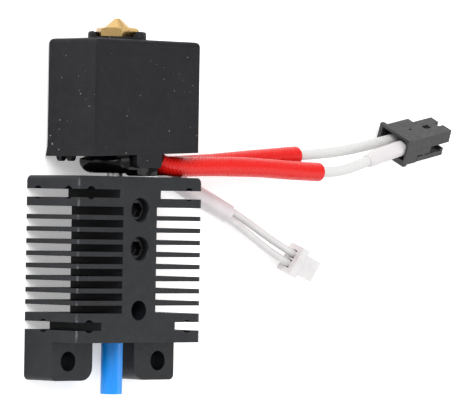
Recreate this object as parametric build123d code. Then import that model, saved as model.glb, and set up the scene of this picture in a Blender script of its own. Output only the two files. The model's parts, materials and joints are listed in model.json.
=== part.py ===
"""3D-printer hotend, lying on its back: finned heatsink, heatbreak, heater block in a
silicone sock, nozzle, feed tube, and the heater and thermistor leads with their plugs.

Frame: X across the heatsink, Y along the filament path towards the nozzle tip, Z up out of
the heatsink's front face. The origin is midway between the two ear holes, on the back face.
"""

from build123d import *
import math
import os

# Heatsink
SINK_WIDTH = 30.0
SINK_HEIGHT = 30.0
SINK_DEPTH = 14.0
EAR_HOLE_BELOW = 3.5                        # ear hole centres below the heatsink's lower face
FACE = SINK_HEIGHT + EAR_HOLE_BELOW         # Y of the heatsink's nozzle-side face
AXIS_Z = SINK_DEPTH / 2                     # height of the filament axis above the back
PILLAR_HALF = 4.1
TOP_PILLAR_HALF = 5.0
BOTTOM_PILLAR_HALF = 9.0
TOP_SLOT = (2.4, 3.9)                       # slots, as distances below the nozzle-side face
BOTTOM_SLOT = (26.3, 27.8)
UPPER_PLATE_END = 5.5
LOWER_PLATE_START = 24.7
FIN_COUNT = 8
FIN_FIRST = 7.45
FIN_PITCH = 2.2
FIN_THICK = 0.85
CORNER_R = 1.0
EAR_GAP = 10.2
EAR_LENGTH = 7.0
EAR_THICK = 7.4
EAR_HOLE_SPACING = 22.0
EAR_HOLE_R = 1.8
EAR_INNER_R = 2.5
FAN_SPACING = 24.0
FAN_HOLE_R = 1.2
FAN_HOLE_DEPTH = 8.0
FAN_HOLE_BELOW = 3.05
SIDE_HOLE_FRONT = (2.8, 11.0)               # side screw holes, distances behind the front face
SIDE_HOLE_LOW = 9.0
GRUB_BELOW = (6.0, 13.0)                    # the two heatbreak screws below the face
GRUB_R = 2.0
FRONT_HOLE_BELOW = 24.15
FRONT_HOLE_R = 1.8
FRONT_HOLE_DEPTH = 4.4

# Heatbreak and feed tube
BARREL_R = 3.0
BARREL_LENGTH = 17.0
NECK_R = 1.45
TUBE_R = 2.0
FILAMENT_BORE_R = 1.0
TUBE_SEAT = 6.0                             # the tube's inner end, below the face
TUBE_LENGTH = 33.5

# Heater block, above the nozzle-side face
BLOCK_X = (-9.2, 13.5)
BLOCK_Y = (5.2, 23.2)
BLOCK_Z = (1.65, 12.35)
THREAD_R = 3.0
HEATER_X = 7.4
HEATER_Z = 7.4
HEATER_R = 3.0
HEATER_LENGTH = 16.0
THERMISTOR_X = 11.2
THERMISTOR_Z = 3.6
THERMISTOR_R = 1.5
THERMISTOR_LENGTH = 10.0

# Nozzle, above the nozzle-side face
NOZZLE_START = 16.5
HEX_START = 23.95
HEX_END = 26.95
HEX_FLATS = 7.0
TIP = 28.7
CONE_R = 2.05
TIP_R = 0.5
ORIFICE_R = 0.2

# Silicone sock, above the nozzle-side face
SOCK_X = (-10.8, 14.75)
SOCK_Z = (0.3, 13.65)
SOCK_TOP = 24.8
SOCK_RIM_LEFT = 3.5
SOCK_RIM_RIGHT = 4.6
SOCK_GAP = 0.1
SOCK_CORNER_R = 0.5
SOCK_TOP_R = 0.9
RING_R = 5.3
RING_TOP = 26.3
RING_HOLE_R = 4.3
TAB_X = (-0.7, 5.5)
TAB_END = 1.6

# Neck collar, above the nozzle-side face
COLLAR_R = 6.0
COLLAR_STRETCH = 0.7
COLLAR_NECK_R = 5.1
COLLAR_LOW = 0.6
COLLAR_STEP = 3.3
COLLAR_LOBE_X = (0.6, 5.6)
COLLAR_LOBE_LOW = 0.15
COLLAR_LOBE_Z = 8.6
NIB_Z = (3.35, 6.0)
NIB_R = 0.8

# Leads
HEATER_WIRE_D = 2.0
HEATER_SLEEVE_D = 3.6
CRIMP_SLEEVE_D = 3.0
SENSOR_WIRE_D = 1.45
SENSOR_SLEEVE_D = 3.6
SENSOR_SLEEVE_BORE_D = 3.2
SLEEVE_CLEARANCE = 0.1
ARC_SHARE = 0.45

# Routes as (x, y above the nozzle-side face, z)
HEATER_FRONT = [
    (7.4, 6.4, 8.85), (7.4, 3.9, 9.05), (9.2, 2.15, 9.45), (13.5, 2.0, 9.65), (21, 2.25, 9.2),
    (33, 2.35, 8.5), (45, 1.9, 7.7), (55.5, 1.65, 7.1), (62.3, 3.0, 6.8),
    (70.05, 5.8, 6.63), (77.29, 7.33, 6.63),
]
HEATER_REAR = [
    (7.4, 6.4, 5.95), (7.4, 3.9, 5.75), (9.2, 2.15, 5.72), (13.5, 2.15, 5.8), (21, 2.55, 5.4),
    (32, 3.35, 4.55), (43, 4.3, 3.75), (53.5, 5.1, 3.3), (61.5, 5.85, 3.4),
    (69.72, 7.38, 3.52), (76.96, 8.91, 3.52),
]
SENSOR_UPPER = [
    (11.94, 5.2, 3.6), (12.2, 3.4, 3.15), (14.3, 2.7, 2.75), (17.65, 1.9, 2.3),
    (21.75, -0.65, 1.95), (28.5, -3.45, 1.85), (35.85, -6.5, 1.95), (44.6, -11.7, 3.2),
    (49.35, -13.71, 3.26),
]
SENSOR_LOWER = [
    (10.46, 5.2, 3.6), (10.75, 2.85, 3.1), (13.0, 1.45, 2.7), (17.0, 0.45, 2.3),
    (21.05, -2.15, 1.95), (27.9, -4.93, 1.85), (35.3, -7.95, 1.9), (43.9, -13.55, 2.62),
    (48.64, -15.47, 2.64),
]
SENSOR_MIDDLE = [(17.3, 1.18, 2.3), (21.4, -1.4, 1.95), (28.2, -4.19, 1.85), (35.6, -7.2, 1.92)]

# Heater plug: rear face centre, heading of its axis, roll about it, then its own sizes
HEATER_PLUG_AT = (73.8, 7.4, 4.9)
HEATER_PLUG_HEADING = 11.95
HEATER_PLUG_ROLL = 62.5
HEATER_WAYS = (-1.9, 1.6)
WAY_HEIGHT = 0.1
WAY_R = 1.15
FLANGE_HALF = 4.0
FLANGE_HALF_HEIGHT = 2.85
FLANGE_THICK = 0.9
PLUG_SIDES = (-3.9, 3.3)
PLUG_HALF_HEIGHT = 2.6
PLUG_BODY_END = 7.1
PLUG_END = 12.2
SILO_SIDES = (-3.8, 1.9)
SILO_WAYS = (-2.6, 0.9)
SILO_NOTCH = (-1.43, -0.16)
SILO_NOTCH_DEPTH = 1.3
SILO_WINDOW_X = (7.4, 9.0)
PLUG_RECESS_DEPTH = 2.2
TERMINAL_START = 3.45

# Latch of the heater plug
LATCH_SIDES = (-3.8, 1.5)
LATCH_X = (3.8, 11.0)
LATCH_THICK = 1.1
LATCH_PIVOT_X = 5.6
LATCH_POCKET_Z = -1.2

# Thermistor plug
SENSOR_PLUG_AT = (48.9, -14.55, 2.95)
SENSOR_PLUG_HEADING = -22.1
SENSOR_PLUG_ROLL = -18.0
SENSOR_PITCH = 2.0
SENSOR_PLUG_LENGTH = 5.9
SENSOR_PLUG_STEP = 1.9
SENSOR_PLUG_HALF_REAR = 2.9
SENSOR_PLUG_HALF_FRONT = 2.05
SENSOR_PLUG_HALF_HEIGHT = 2.1


def block(x, y, z):
    """Box from its low and high value along each axis, with y above the nozzle-side face."""
    size = (x[1] - x[0], y[1] - y[0], z[1] - z[0])
    centre = ((x[0] + x[1]) / 2, FACE + (y[0] + y[1]) / 2, (z[0] + z[1]) / 2)
    return Pos(*centre) * Box(*size)


def plug_block(x, y, z):
    """Box from its low and high value along each axis of a plug's own frame."""
    size = (x[1] - x[0], y[1] - y[0], z[1] - z[0])
    return Pos((x[0] + x[1]) / 2, (y[0] + y[1]) / 2, (z[0] + z[1]) / 2) * Box(*size)


def rod(radius, y0, y1, x=0.0, z=AXIS_Z):
    """Cylinder along Y between two distances above the nozzle-side face."""
    middle = Pos(x, FACE + (y0 + y1) / 2, z)
    return middle * Rot(90, 0, 0) * Cylinder(radius, y1 - y0)


def rod_z(radius, x, y, z0, z1):
    return Pos(x, FACE + y, (z0 + z1) / 2) * Cylinder(radius, z1 - z0)


def rod_x(radius, x0, x1, y, z):
    return Pos((x0 + x1) / 2, FACE + y, z) * Rot(0, 90, 0) * Cylinder(radius, x1 - x0)


def plug_rod(radius, x0, x1, y, z):
    """Cylinder along a plug's own axis."""
    return Pos((x0 + x1) / 2, y, z) * Rot(0, 90, 0) * Cylinder(radius, x1 - x0)


def plug_plane(at, heading, roll):
    """Frame of a plug: X forward along its axis, Z out of its top."""
    turn, lean = math.radians(heading), math.radians(roll)
    forward = (math.cos(turn), math.sin(turn), 0)
    up = (-math.sin(turn) * math.sin(lean), math.cos(turn) * math.sin(lean), math.cos(lean))
    return Plane(origin=(at[0], FACE + at[1], at[2]), x_dir=forward, z_dir=up)


def place(plane, shape):
    return plane.location * shape


# Routes and tubes

def route_points(route):
    return [Vector(x, FACE + y, z) for x, y, z in route]


def corner_radii(points):
    """Arc radius at each inner corner: a share of the shorter run beside it."""
    radii = []
    for before, corner, after in zip(points, points[1:], points[2:]):
        half_turn = math.radians((corner - before).get_angle(after - corner)) / 2
        shorter = min((corner - before).length, (after - corner).length)
        radii.append(ARC_SHARE * shorter / math.tan(half_turn))
    return radii


def stretch(points, radii, start_corner, start_share, end_corner, end_share):
    """Path along part of a route: from a share of the way past one corner to a share past another."""
    first = points[start_corner] + (points[start_corner + 1] - points[start_corner]) * start_share
    last = points[end_corner] + (points[end_corner + 1] - points[end_corner]) * end_share
    inner = points[start_corner + 1:end_corner + 1]
    return FilletPolyline(first, *inner, last, radius=radii[start_corner:end_corner])


def tube(path, diameter):
    start = Plane(origin=path @ 0, z_dir=path % 0)
    return sweep(start * Circle(diameter / 2), path=path)


def whole_path(route):
    points = route_points(route)
    return FilletPolyline(*points, radius=corner_radii(points))


def wire(name, route, diameter):
    """Solid wire along the whole route, with its radii and volume printed."""
    path = whole_path(route)
    solid = tube(path, diameter)
    ideal = math.pi * diameter ** 2 / 4 * path.length
    radii = [round(r, 1) for r in corner_radii(route_points(route))]
    print(name, "length", round(path.length, 1), "radii", radii)
    print(name, "volume over section times length", round(solid.volume / ideal, 4))
    return solid


def sleeve(route, outer_d, bore_d, start_corner, start_share, end_corner, end_share):
    points = route_points(route)
    radii = corner_radii(points)
    path = stretch(points, radii, start_corner, start_share, end_corner, end_share)
    return tube(path, outer_d) - tube(path, bore_d)


# Heatsink

def sink_slots():
    """Every slot between the plates and fins as (top, bottom, pillar half width)."""
    slots = [(*TOP_SLOT, TOP_PILLAR_HALF), (*BOTTOM_SLOT, BOTTOM_PILLAR_HALF)]
    edge = UPPER_PLATE_END
    for k in range(FIN_COUNT):
        centre = FIN_FIRST + k * FIN_PITCH
        slots.append((edge, centre - FIN_THICK / 2, PILLAR_HALF))
        edge = centre + FIN_THICK / 2
    slots.append((edge, LOWER_PLATE_START, PILLAR_HALF))
    return slots


def ear(side):
    outer = SINK_WIDTH / 2
    inner = EAR_GAP / 2
    low, high = sorted((side * inner, side * outer))
    body = block((low, high), (-SINK_HEIGHT - EAR_LENGTH, -SINK_HEIGHT), (0, EAR_THICK))
    ends = body.edges().filter_by(Axis.Z).group_by(Axis.Y)[0].sort_by(Axis.X)
    inner_end, outer_end = (ends[0], ends[1]) if side > 0 else (ends[1], ends[0])
    body = fillet(inner_end, EAR_INNER_R)
    near = body.edges().filter_by(Axis.Z).filter_by_position(
        Axis.X, side * outer - 0.1, side * outer + 0.1
    )
    return fillet(near.sort_by(Axis.Y)[0], CORNER_R)


def sink_holes():
    holes = rod(BARREL_R + 0.02, -BARREL_LENGTH, 0)
    holes += rod(TUBE_R + 0.05, -SINK_HEIGHT, -BARREL_LENGTH)
    for below in GRUB_BELOW:
        holes += rod_z(GRUB_R, 0, -below, AXIS_Z, SINK_DEPTH)
    holes += rod_z(FRONT_HOLE_R, 0, -FRONT_HOLE_BELOW, SINK_DEPTH - FRONT_HOLE_DEPTH, SINK_DEPTH)
    for side in (-1, 1):
        x = side * FAN_SPACING / 2
        for below in (FAN_HOLE_BELOW, FAN_HOLE_BELOW + FAN_SPACING):
            holes += rod_z(FAN_HOLE_R, x, -below, SINK_DEPTH - FAN_HOLE_DEPTH, SINK_DEPTH)
        x0, x1 = sorted((side * 7.0, side * SINK_WIDTH / 2))
        for behind in SIDE_HOLE_FRONT:
            holes += rod_x(FAN_HOLE_R, x0, x1, -FAN_HOLE_BELOW, SINK_DEPTH - behind)
        x0, x1 = sorted((side * 9.2, side * SINK_WIDTH / 2))
        low = FAN_HOLE_BELOW + FAN_SPACING
        holes += rod_x(FAN_HOLE_R, x0, x1, -low, SINK_DEPTH - SIDE_HOLE_LOW)
        holes += rod_z(EAR_HOLE_R, side * EAR_HOLE_SPACING / 2, -FACE, 0, EAR_THICK)
    return holes


def heatsink():
    half = SINK_WIDTH / 2
    body = block((-half, half), (-SINK_HEIGHT, 0), (0, SINK_DEPTH))
    top_corners = body.edges().filter_by(Axis.Z).group_by(Axis.Y)[-1]
    body = fillet(top_corners, CORNER_R)
    for top, bottom, pillar in sink_slots():
        for low, high in ((-half - 1, -pillar), (pillar, half + 1)):
            body -= block((low, high), (-bottom, -top), (-1, SINK_DEPTH + 1))
    return body + ear(-1) + ear(1) - sink_holes()


# Filament path

def heatbreak():
    body = rod(BARREL_R, -BARREL_LENGTH, 0)
    body += rod(NECK_R, 0, BLOCK_Y[0])
    body += rod(THREAD_R - 0.02, BLOCK_Y[0], NOZZLE_START - 0.05)
    body -= rod(TUBE_R + 0.05, -BARREL_LENGTH, -TUBE_SEAT)
    return body - rod(FILAMENT_BORE_R, -BARREL_LENGTH, NOZZLE_START)


def grub_screw(radius, length):
    """Set screw along Z with its tip at the origin and a hex socket in its top."""
    body = Pos(0, 0, length / 2) * Cylinder(radius, length)
    socket = RegularPolygon(radius * 0.5, 6, major_radius=False)
    return body - Pos(0, 0, length * 0.5) * extrude(socket, length)


def heatbreak_screw(below):
    """Set screw in the heatsink's front that bears on the heatbreak."""
    return Pos(0, FACE - below, AXIS_Z + BARREL_R + 0.02) * grub_screw(GRUB_R - 0.03, 2.9)


def ptfe_tube():
    end = -TUBE_SEAT
    return rod(TUBE_R, end - TUBE_LENGTH, end) - rod(FILAMENT_BORE_R, end - TUBE_LENGTH, end)


def nozzle():
    """Brass nozzle: threaded shank, hexagon, cone and flat tip, with its bore and orifice."""
    shank = rod(THREAD_R - 0.05, NOZZLE_START, HEX_START)
    hexagon = extrude(RegularPolygon(HEX_FLATS / 2, 6, major_radius=False), HEX_END - HEX_START)
    hexagon = Pos(0, FACE + HEX_START, AXIS_Z) * Rot(-90, 0, 0) * hexagon
    cone = Cone(CONE_R, TIP_R, TIP - HEX_END)
    cone = Pos(0, FACE + (HEX_END + TIP) / 2, AXIS_Z) * Rot(-90, 0, 0) * cone
    body = shank + hexagon + cone
    return body - rod(FILAMENT_BORE_R, NOZZLE_START, HEX_END) - rod(ORIFICE_R, HEX_END, TIP)


# Heater block and what it holds

def heater_block():
    body = block(BLOCK_X, BLOCK_Y, BLOCK_Z)
    body -= rod(THREAD_R, *BLOCK_Y)
    body -= rod(HEATER_R + 0.05, BLOCK_Y[0], BLOCK_Y[0] + HEATER_LENGTH + 0.3, HEATER_X, HEATER_Z)
    depth = BLOCK_Y[0] + THERMISTOR_LENGTH + 0.3
    body -= rod(THERMISTOR_R + 0.05, BLOCK_Y[0], depth, THERMISTOR_X, THERMISTOR_Z)
    return body - rod_x(1.5, HEATER_X + HEATER_R - 0.2, BLOCK_X[1], 13.0, HEATER_Z)


def heater_cartridge():
    low = BLOCK_Y[0]
    body = rod(HEATER_R, low, low + HEATER_LENGTH, HEATER_X, HEATER_Z)
    return body - rod(HEATER_R - 0.3, low, low + 1.2, HEATER_X, HEATER_Z)


def cartridge_plug():
    """Ceramic plug in the cartridge's open end, with a hole for each wire."""
    low = BLOCK_Y[0]
    body = rod(HEATER_R - 0.3, low, low + 1.2, HEATER_X, HEATER_Z)
    for route in (HEATER_FRONT, HEATER_REAR):
        body -= rod(HEATER_WIRE_D / 2 + 0.12, low, low + 1.2, route[0][0], route[0][2])
    return body


def cartridge_grub_screw():
    screw = grub_screw(1.47, 2.4)
    return Pos(HEATER_X + HEATER_R + 0.06, FACE + 13.0, HEATER_Z) * Rot(0, 90, 0) * screw


def thermistor():
    low = BLOCK_Y[0] + 0.6
    return rod(THERMISTOR_R, low, low + THERMISTOR_LENGTH - 0.6, THERMISTOR_X, THERMISTOR_Z)


def thermistor_cement():
    return rod(THERMISTOR_R, BLOCK_Y[0], BLOCK_Y[0] + 0.6, THERMISTOR_X, THERMISTOR_Z)


def neck_collar():
    """Silicone collar round the neck, flat where the sock's tab hangs, with a lobe beside it."""
    height = (COLLAR_LOW, COLLAR_STEP)
    skirt = rod(COLLAR_R, *height) + rod(COLLAR_R, *height, -COLLAR_STRETCH, AXIS_Z)
    skirt += block((-COLLAR_STRETCH, 0), height, (AXIS_Z - COLLAR_R, AXIS_Z + COLLAR_R))
    skirt = fillet(skirt.faces().sort_by(Axis.Y)[0].edges(), 2.0)
    body = skirt + rod(COLLAR_NECK_R, COLLAR_STEP, BLOCK_Y[0])
    body += block(COLLAR_LOBE_X, (COLLAR_LOBE_LOW, COLLAR_STEP), (COLLAR_LOBE_Z, BLOCK_Z[1]))
    body -= rod(NECK_R + 0.05, 0, BLOCK_Y[0])
    return body - block((-7, 7), (0, BLOCK_Y[0]), (BLOCK_Z[1], SINK_DEPTH))


# Sock

def silicone_sock():
    """Cup over the heater block, open towards the heatsink, with a slanted rim."""
    x0, x1 = SOCK_X
    outline = Polyline(
        (x0, FACE + SOCK_RIM_LEFT), (x1, FACE + SOCK_RIM_RIGHT),
        (x1, FACE + SOCK_TOP), (x0, FACE + SOCK_TOP), close=True,
    )
    body = Pos(0, 0, SOCK_Z[0]) * extrude(make_face(outline), SOCK_Z[1] - SOCK_Z[0])
    body = fillet(body.edges().filter_by(Axis.Y), SOCK_CORNER_R)
    body = fillet(body.faces().sort_by(Axis.Y)[-1].edges(), SOCK_TOP_R)
    for z in NIB_Z:
        body += rod_x(NIB_R, x0, BLOCK_X[0] - SOCK_GAP, SOCK_RIM_LEFT, z)
    body += block(TAB_X, (TAB_END, SOCK_RIM_RIGHT), (BLOCK_Z[1] + SOCK_GAP, SOCK_Z[1]))
    body += rod(RING_R, SOCK_TOP - 0.5, RING_TOP)
    cavity_x = (BLOCK_X[0] - SOCK_GAP, BLOCK_X[1] + SOCK_GAP)
    cavity_z = (BLOCK_Z[0] - SOCK_GAP, BLOCK_Z[1] + SOCK_GAP)
    body -= block(cavity_x, (SOCK_RIM_LEFT - NIB_R - 1, BLOCK_Y[1] + SOCK_GAP), cavity_z)
    return body - rod(RING_HOLE_R, BLOCK_Y[1], RING_TOP + 1)


# Heater plug

def heater_plug_plane():
    return plug_plane(HEATER_PLUG_AT, HEATER_PLUG_HEADING, HEATER_PLUG_ROLL)


def heater_plug_housing():
    half = PLUG_HALF_HEIGHT
    body = plug_block((0, FLANGE_THICK), (-FLANGE_HALF, FLANGE_HALF),
                      (-FLANGE_HALF_HEIGHT, FLANGE_HALF_HEIGHT))
    body += plug_block((FLANGE_THICK, PLUG_BODY_END), PLUG_SIDES, (-half, half))
    body += plug_block((PLUG_BODY_END, PLUG_END), SILO_SIDES, (0, half))
    body -= plug_block((PLUG_END - SILO_NOTCH_DEPTH, PLUG_END + 1), SILO_NOTCH, (-half, half + 1))
    body -= plug_block(SILO_WINDOW_X, (-1.3, -0.1), (1.6, half + 1))
    body -= plug_block((-1, PLUG_RECESS_DEPTH), (-3.6, 3.2), (-1.7, 2.3))
    for y in HEATER_WAYS:
        body -= plug_rod(WAY_R, PLUG_RECESS_DEPTH - 0.5, 5.6, y, WAY_HEIGHT)
    for y in SILO_WAYS:
        body -= plug_block((5.0, PLUG_END + 1), (y - 0.85, y + 0.85), (0.4, 2.1))
    body -= plug_block((LATCH_X[0] - 0.2, PLUG_BODY_END + 1), (-half - 2, LATCH_SIDES[1] + 0.2),
                       (-half - 1, LATCH_POCKET_Z))
    return place(heater_plug_plane(), body)


def heater_plug_latch():
    """Rocking latch arm under the plug, on a short stem."""
    low = -PLUG_HALF_HEIGHT
    top = low + LATCH_THICK
    body = plug_block(LATCH_X, LATCH_SIDES, (low, top))
    stem_z = (top, LATCH_POCKET_Z - 0.06)
    body += plug_block((LATCH_PIVOT_X - 0.3, LATCH_PIVOT_X + 0.3), (-2.0, 0.0), stem_z)
    hook = plug_block((LATCH_X[1] - 0.9, LATCH_X[1]), (-2.2, 0.2), (top, top + 0.5))
    return place(heater_plug_plane(), body + hook)


def heater_terminals():
    """Crimp socket in each way of the heater plug."""
    plane = heater_plug_plane()
    sockets = []
    for wire_y, y in zip(HEATER_WAYS, SILO_WAYS):
        crimp = plug_rod(0.95, TERMINAL_START, 5.3, wire_y, WAY_HEIGHT)
        box = plug_block((5.2, PLUG_END - 0.5), (y - 0.75, y + 0.75), (0.5, 2.0))
        bore = plug_block((7.0, PLUG_END), (y - 0.45, y + 0.45), (0.8, 1.7))
        sockets.append(place(plane, crimp + box - bore))
    return Compound(children=sockets)


# Thermistor plug

def sensor_plug_plane():
    return plug_plane(SENSOR_PLUG_AT, SENSOR_PLUG_HEADING, SENSOR_PLUG_ROLL)


def thermistor_plug_housing():
    half = SENSOR_PLUG_HALF_HEIGHT
    rear = (-SENSOR_PLUG_HALF_REAR, SENSOR_PLUG_HALF_REAR)
    front = (-SENSOR_PLUG_HALF_FRONT, SENSOR_PLUG_HALF_FRONT)
    body = plug_block((0, SENSOR_PLUG_STEP), rear, (-half, half))
    body += plug_block((SENSOR_PLUG_STEP, SENSOR_PLUG_LENGTH), front, (-half + 0.3, half - 0.3))
    for side in (-1, 1):
        y = side * SENSOR_PITCH / 2
        body -= plug_block((-1, SENSOR_PLUG_LENGTH + 1), (y - 0.8, y + 0.8), (-0.8, 0.8))
    return place(sensor_plug_plane(), body)


def thermistor_terminals():
    """Crimp socket in each way of the thermistor plug."""
    plane = sensor_plug_plane()
    sockets = []
    for side in (-1, 1):
        y = side * SENSOR_PITCH / 2
        box = plug_block((0.2, SENSOR_PLUG_LENGTH - 0.6), (y - 0.6, y + 0.6), (-0.65, 0.65))
        bore = plug_block((2.6, SENSOR_PLUG_LENGTH), (y - 0.35, y + 0.35), (-0.35, 0.35))
        sockets.append(place(plane, box - bore))
    return Compound(children=sockets)


def leads():
    """Wires and sleeves by node name."""
    fit = HEATER_WIRE_D + 2 * SLEEVE_CLEARANCE
    red, white = HEATER_SLEEVE_D, CRIMP_SLEEVE_D
    made = {}
    for name, route, red_end in (("front", HEATER_FRONT, 0.64), ("rear", HEATER_REAR, 0.61)):
        made["heater_wire_" + name] = wire("heater_wire_" + name, route, HEATER_WIRE_D)
        made["heater_sleeve_" + name] = sleeve(route, red, fit, 1, 0.5, 6, red_end)
    made["crimp_sleeve"] = sleeve(HEATER_FRONT, white, fit, 8, 0.4, 9, 0.66)
    for name, route in (("upper", SENSOR_UPPER), ("lower", SENSOR_LOWER)):
        made["thermistor_wire_" + name] = wire("thermistor_wire_" + name, route, SENSOR_WIRE_D)
    made["thermistor_sleeve"] = sleeve(
        SENSOR_MIDDLE, SENSOR_SLEEVE_D, SENSOR_SLEEVE_BORE_D, 0, 0.5, 2, 0.7
    )
    return made


def parts():
    """Every node of the assembly by name."""
    made = {
        "heatsink": heatsink(),
        "heatbreak": heatbreak(),
        "heatbreak_screw_upper": heatbreak_screw(GRUB_BELOW[0]),
        "heatbreak_screw_lower": heatbreak_screw(GRUB_BELOW[1]),
        "ptfe_tube": ptfe_tube(),
        "nozzle": nozzle(),
        "heater_block": heater_block(),
        "heater_cartridge": heater_cartridge(),
        "cartridge_plug": cartridge_plug(),
        "cartridge_grub_screw": cartridge_grub_screw(),
        "thermistor": thermistor(),
        "thermistor_cement": thermistor_cement(),
        "neck_collar": neck_collar(),
        "silicone_sock": silicone_sock(),
        "heater_plug_housing": heater_plug_housing(),
        "heater_plug_latch": heater_plug_latch(),
        "heater_terminals": heater_terminals(),
        "thermistor_plug_housing": thermistor_plug_housing(),
        "thermistor_terminals": thermistor_terminals(),
    }
    made.update(leads())
    return made


def main():
    os.makedirs("parts", exist_ok=True)
    for name, shape in parts().items():
        export_step(shape, "parts/" + name + ".step")


main()
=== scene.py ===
"""Looks of a 3D-printer hotend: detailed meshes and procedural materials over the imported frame.

Lengths are in millimetres until a piece is finished, when it is scaled to metres.
"""

import json
import math

import bmesh
import bpy
from mathutils import Matrix, Vector


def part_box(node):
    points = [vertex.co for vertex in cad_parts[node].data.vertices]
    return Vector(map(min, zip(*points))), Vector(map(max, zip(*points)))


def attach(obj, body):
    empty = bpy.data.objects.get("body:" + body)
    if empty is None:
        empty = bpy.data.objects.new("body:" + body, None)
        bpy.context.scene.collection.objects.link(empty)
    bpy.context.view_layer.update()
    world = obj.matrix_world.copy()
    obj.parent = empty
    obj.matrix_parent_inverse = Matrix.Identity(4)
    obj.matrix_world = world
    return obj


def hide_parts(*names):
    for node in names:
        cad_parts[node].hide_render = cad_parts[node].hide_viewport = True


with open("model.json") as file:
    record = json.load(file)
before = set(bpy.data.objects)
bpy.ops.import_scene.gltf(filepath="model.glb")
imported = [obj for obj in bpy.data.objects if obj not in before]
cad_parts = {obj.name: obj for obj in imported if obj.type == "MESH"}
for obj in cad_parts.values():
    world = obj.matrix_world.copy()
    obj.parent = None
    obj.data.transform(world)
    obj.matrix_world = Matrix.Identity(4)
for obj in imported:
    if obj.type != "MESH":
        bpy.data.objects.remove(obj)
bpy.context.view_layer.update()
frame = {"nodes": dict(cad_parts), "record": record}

MM = 0.001

# Driving sizes, in step with the frame
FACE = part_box("heatsink")[1].y / MM
SINK_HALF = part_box("heatsink")[1].x / MM
SINK_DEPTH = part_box("heatsink")[1].z / MM
SINK_HEIGHT = 30.0
AXIS_Z = SINK_DEPTH / 2
EDGE = 0.12                     # usual rounding of an edge
BORE_R = 1.0                    # filament path
THREAD_R = 3.0                  # heatbreak barrel, nozzle and their thread in the block
MIDDLE = (0.02, 0.03, 0.01)     # about the middle of the object, in metres


def link_object(name, data):
    """New object of the scene, made of some data."""
    obj = bpy.data.objects.new(name, data)
    bpy.context.scene.collection.objects.link(obj)
    return obj


# ------------ camera

CAMERA_YAW = math.radians(43.79)
CAMERA_PITCH = math.radians(-0.1)
CAMERA_ROLL = math.radians(0.97)
CAMERA_DISTANCE = 900.0
CAMERA_ASIDE = 27.6
CAMERA_ALONG = 27.8
CAMERA_LENS = 374.3


def add_camera():
    """Long lens on the left of the part, looking square to its length."""
    back = Vector((-math.sin(CAMERA_YAW), 0, math.cos(CAMERA_YAW)))
    right = Vector((math.cos(CAMERA_YAW), 0, math.sin(CAMERA_YAW)))
    along = Vector((0, 1, 0))
    lifted = along * math.cos(CAMERA_PITCH) - back * math.sin(CAMERA_PITCH)
    back = back * math.cos(CAMERA_PITCH) + along * math.sin(CAMERA_PITCH)
    aside = right * math.cos(CAMERA_ROLL) + lifted * math.sin(CAMERA_ROLL)
    above = lifted * math.cos(CAMERA_ROLL) - right * math.sin(CAMERA_ROLL)
    data = bpy.data.cameras.new("camera")
    data.lens = CAMERA_LENS
    data.sensor_width = 36.0
    data.clip_start = 0.01
    data.clip_end = 10.0
    camera = link_object("camera", data)
    place = aside * CAMERA_ASIDE + above * CAMERA_ALONG + back * CAMERA_DISTANCE
    turn = Matrix((aside, above, back)).transposed().to_4x4()
    camera.matrix_world = Matrix.Translation(place * MM) @ turn
    bpy.context.scene.camera = camera


add_camera()


# ------------ mesh tools

def link_mesh(name, bm):
    mesh = bpy.data.meshes.new(name)
    bm.to_mesh(mesh)
    bm.free()
    return link_object(name, mesh)


def prism_faces(bm, outline, low, high, lift):
    """Adds a prism over an outline; lift turns an outline point and a height into a place."""
    base = [bm.verts.new(lift(a, b, low)) for a, b in outline]
    top = [bm.verts.new(lift(a, b, high)) for a, b in outline]
    bm.faces.new(base[::-1])
    bm.faces.new(top)
    for i in range(len(outline)):
        j = (i + 1) % len(outline)
        bm.faces.new((base[i], base[j], top[j], top[i]))


def along_z(a, b, h):
    return (a, b, h)


def along_y(a, b, h):
    return (a, h, b)


def along_x(a, b, h):
    return (h, a, b)


def prism(name, outline, low, high, lift=along_z):
    bm = bmesh.new()
    prism_faces(bm, outline, low, high, lift)
    bmesh.ops.recalc_face_normals(bm, faces=bm.faces)
    return link_mesh(name, bm)


def rectangle(x, y):
    return [(x[0], y[0]), (x[1], y[0]), (x[1], y[1]), (x[0], y[1])]


def slabs(name, boxes):
    """One mesh of separate boxes, each given by its low and high value along X, Y and Z."""
    bm = bmesh.new()
    for x, y, z in boxes:
        prism_faces(bm, rectangle(x, y), *z, along_z)
    bmesh.ops.recalc_face_normals(bm, faces=bm.faces)
    return link_mesh(name, bm)


def circle(radius, a=0.0, b=0.0, sides=40):
    turns = [2 * math.pi * (i + 0.5) / sides for i in range(sides)]
    return [(a + radius * math.cos(t), b + radius * math.sin(t)) for t in turns]


def rods(name, radius, places, low, high, lift=along_z, sides=40):
    """One mesh of separate cylinders that share a length, along one axis."""
    bm = bmesh.new()
    for a, b in places:
        prism_faces(bm, circle(radius, a, b, sides), low, high, lift)
    bmesh.ops.recalc_face_normals(bm, faces=bm.faces)
    return link_mesh(name, bm)


def rounded(x, y, radii, steps=6):
    """Rectangle outline with a corner radius each, anticlockwise from low x, low y."""
    corners = rectangle(x, y)
    points = []
    for k, ((cx, cy), radius) in enumerate(zip(corners, radii)):
        if radius == 0:
            points.append((cx, cy))
            continue
        inward_x = radius if k in (0, 3) else -radius
        inward_y = radius if k in (0, 1) else -radius
        start = math.pi + k * math.pi / 2
        for i in range(steps + 1):
            turn = start + (math.pi / 2) * i / steps
            points.append((cx + inward_x + radius * math.cos(turn),
                           cy + inward_y + radius * math.sin(turn)))
    return points


def join_rings(bm, near, far):
    """Band of faces between two rings, in turn order."""
    count = len(near)
    band = []
    for k in range(count):
        n = (k + 1) % count
        band.append(bm.faces.new((near[k], near[n], far[n], far[k])))
    return band


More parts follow.
